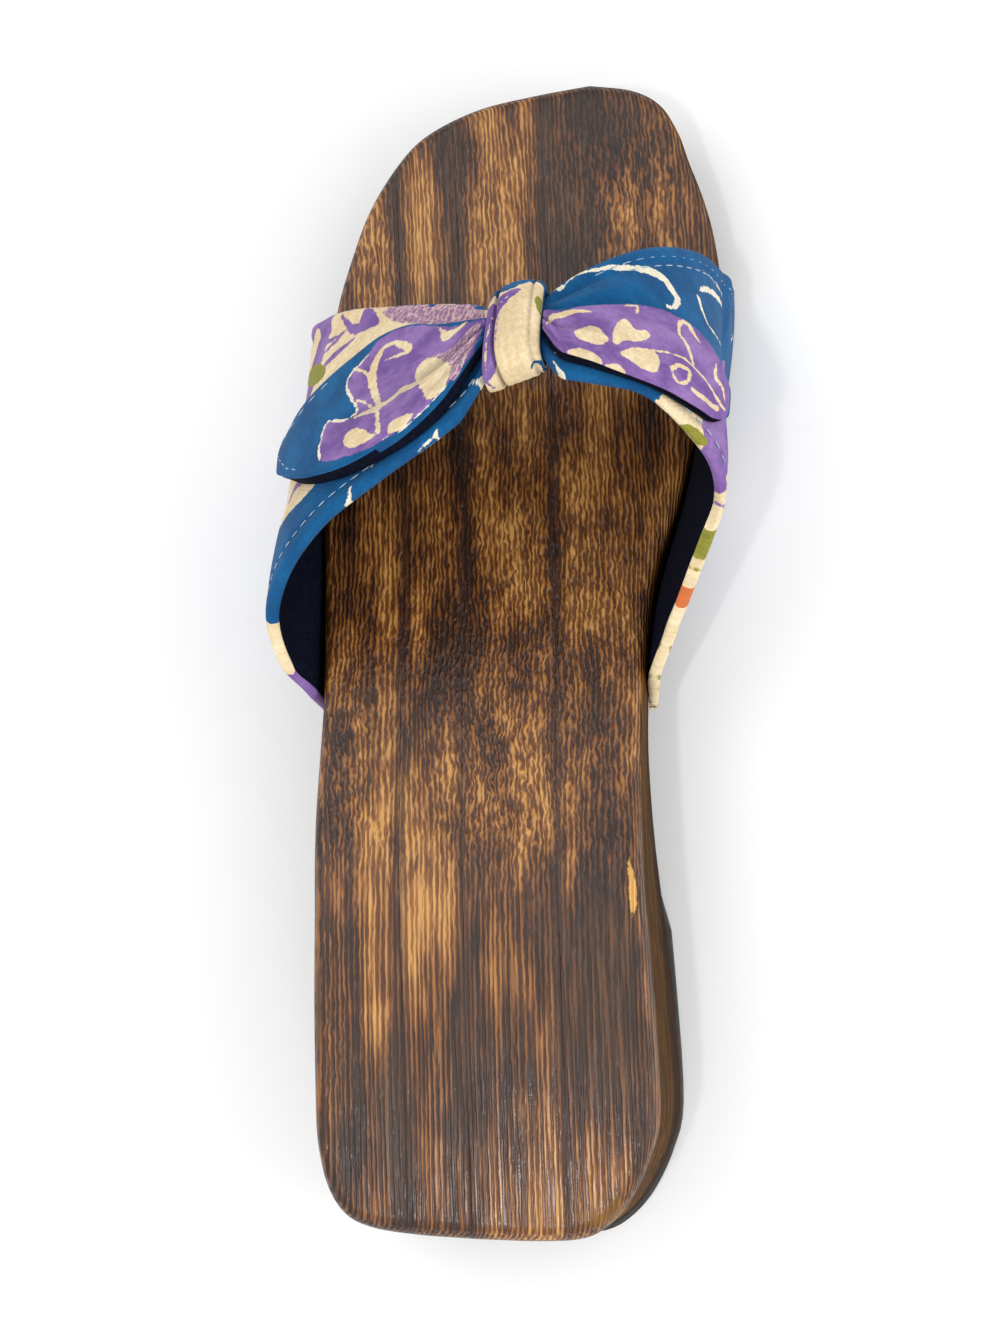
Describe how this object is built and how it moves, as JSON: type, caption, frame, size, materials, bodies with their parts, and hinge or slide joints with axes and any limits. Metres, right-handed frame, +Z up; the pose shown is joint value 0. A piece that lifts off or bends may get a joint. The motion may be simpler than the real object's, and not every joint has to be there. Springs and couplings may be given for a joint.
{
  "type": "geta sandal",
  "caption": "Left wooden geta mule with a wedge heel, a shaped sole of glued burnt boards and a wide printed cotton band gathered by a tied bow.",
  "frame": {"origin": "on the floor, at the middle of the flat that the heel rests on", "axes": "+Y towards the toe, +X towards the big-toe side, +Z up"},
  "size_m": [0.0931, 0.2421, 0.0762],
  "materials": {
    "burnt_wood": "burnt, brushed along the grain and varnished",
    "print_cotton": "matt printed cotton with a navy lining",
    "tread_rubber": "matt"
  },
  "bodies": {
    "root": {"board_1": "burnt_wood", "board_2": "burnt_wood", "board_3": "burnt_wood", "board_4": "burnt_wood", "band": "print_cotton", "tie_knot": "print_cotton", "tie_tail_lateral": "print_cotton", "tie_tail_medial": "print_cotton", "heel_tread": "tread_rubber", "forefoot_tread": "tread_rubber"}
  },
  "joints": []
}
